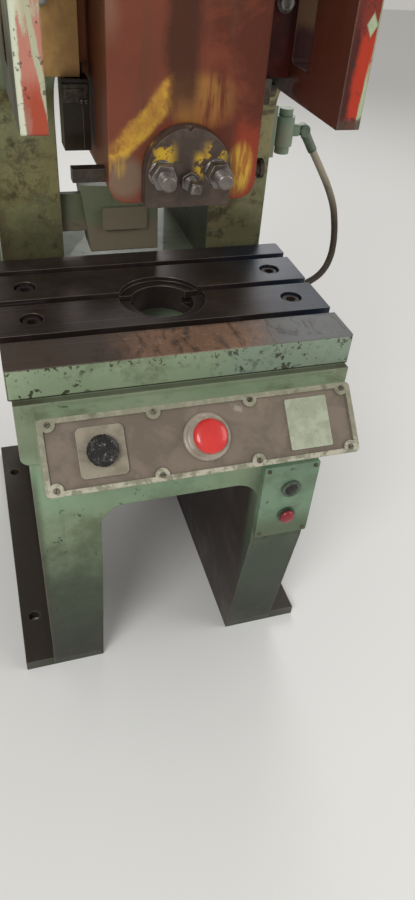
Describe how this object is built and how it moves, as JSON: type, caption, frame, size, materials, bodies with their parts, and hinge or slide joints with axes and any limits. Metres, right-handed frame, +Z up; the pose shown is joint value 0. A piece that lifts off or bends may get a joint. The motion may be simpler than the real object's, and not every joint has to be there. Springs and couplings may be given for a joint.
{
  "type": "mechanical stamping press",
  "caption": "Open-back eccentric stamping press on cast legs: crank-driven ram with a tool clamp over a T-slotted table, belt-driven flywheel in a guard, slanted button console.",
  "frame": {"origin": "on the floor, at the centre of the rectangle of the four anchor holes in the foot rails", "axes": "+X to the operator's right, +Y to the back of the press, +Z up"},
  "size_m": [0.763, 1.03, 2.0398],
  "materials": {
    "casting": "old glossy sage green paint on cast iron, chipped and oily",
    "guide_red": "old dark red primer paint, greasy",
    "ram_paint": "brick red paint worn to ochre, with grease",
    "guide_yellow": "yellowed cream paint, grimy",
    "table_steel": "machined cast iron, dark with oil and light rust",
    "steel": "machined steel, oiled",
    "dark_steel": "oil-blackened steel",
    "bronze": "bearing bronze, oiled",
    "panel": "grey-brown worn paint",
    "plate_green": "pale green paint",
    "red_plastic": "glossy moulded red",
    "black_plastic": "worn matte black moulding",
    "grey_plastic": "pale grey moulding",
    "regulator_paint": "teal green enamel",
    "motor_paint": "grey-blue enamel, dusty",
    "hose_rubber": "grey rubber, dull",
    "belt_rubber": "black belt rubber"
  },
  "bodies": {
    "press_frame": {"frame": "casting", "table": "table_steel", "table_screws": "dark_steel", "console_box": "casting", "console_cover": "panel", "panel_screws": "steel", "e_stop_ring": "grey_plastic", "palm_plate": "panel", "blank_plate": "plate_green", "contact_blocks": "black_plastic", "station_box": "casting", "station_rings": "panel", "left_gib": "guide_yellow", "right_gib": "guide_red", "gib_screws": "steel", "drip_box": "black_plastic", "gib_bracket": "grey_plastic", "main_bushes": "bronze", "front_cover": "casting", "top_cover": "casting", "cover_screws": "steel", "brake_band": "dark_steel", "valve_box": "casting", "valve_box_cover": "casting", "air_bracket": "regulator_paint", "air_regulator": "regulator_paint", "hose_fittings": "steel", "air_hose": "hose_rubber", "motor_base": "casting", "motor_housing": "motor_paint", "motor_fan_cover": "motor_paint", "terminal_box": "motor_paint", "belts": "belt_rubber", "guard_plate": "casting", "belt_guard": "casting"},
    "ram_slide_block": {"ram": "ram_paint", "clamp_cap": "dark_steel", "clamp_studs": "steel", "clamp_nuts": "steel", "set_screw": "steel", "ram_lugs": "dark_steel", "ball_pad": "bronze", "ball_retainer": "dark_steel"},
    "crank": {"crankshaft": "steel", "brake_drum": "dark_steel", "clutch_disc": "bronze", "shaft_caps": "dark_steel"},
    "connecting_rod": {"pitman": "dark_steel", "pitman_bush": "bronze", "pitman_screw": "steel", "lock_nut": "dark_steel"},
    "flywheel_set": {"flywheel": "dark_steel", "flywheel_bearings": "steel", "clutch_cover": "dark_steel"},
    "motor_rotor": {"motor_shaft": "steel", "motor_pulley": "dark_steel"},
    "e_stop": {"e_stop_button": "red_plastic"},
    "palm": {"palm_button": "black_plastic"},
    "start": {"start_button": "black_plastic"},
    "stop": {"stop_button": "red_plastic"}
  },
  "joints": [
    {"name": "ram_slide", "type": "slide", "parent": "press_frame", "child": "ram_slide_block", "axis": [0, 0, -1], "range_m": [0, 0.04]},
    {"name": "crank_turn", "type": "hinge", "parent": "press_frame", "child": "crank", "pos_m": [0, 0, 1.602], "axis": [0, 1, 0], "range_deg": [0, 180]},
    {"name": "pitman_turn", "type": "hinge", "parent": "crank", "child": "connecting_rod", "pos_m": [0, -0.262, 1.622], "axis": [0, 1, 0], "range_deg": [-180, 0]},
    {"name": "flywheel_spin", "type": "hinge", "parent": "press_frame", "child": "flywheel_set", "pos_m": [0, 0.348, 1.602], "axis": [0, 1, 0], "continuous": true},
    {"name": "motor_spin", "type": "hinge", "parent": "press_frame", "child": "motor_rotor", "pos_m": [0, 0.348, 1.942], "axis": [0, 1, 0], "continuous": true},
    {"name": "e_stop_press", "type": "slide", "parent": "press_frame", "child": "e_stop", "axis": [0, 0.7071, -0.7071], "range_m": [0, 0.005], "stiffness_N_per_m": 400},
    {"name": "palm_press", "type": "slide", "parent": "press_frame", "child": "palm", "axis": [0, 0.7071, -0.7071], "range_m": [0, 0.005], "stiffness_N_per_m": 400},
    {"name": "start_press", "type": "slide", "parent": "press_frame", "child": "start", "axis": [0, 1, 0], "range_m": [0, 0.003], "stiffness_N_per_m": 300},
    {"name": "stop_press", "type": "slide", "parent": "press_frame", "child": "stop", "axis": [0, 1, 0], "range_m": [0, 0.003], "stiffness_N_per_m": 300}
  ],
  "couplings": [
    {"joint": "crank_turn", "follows": "ram_slide", "rad_per_m": 78.5},
    {"joint": "pitman_turn", "follows": "ram_slide", "rad_per_m": -78.5},
    {"joint": "motor_spin", "follows": "flywheel_spin", "ratio": 5.29}
  ]
}
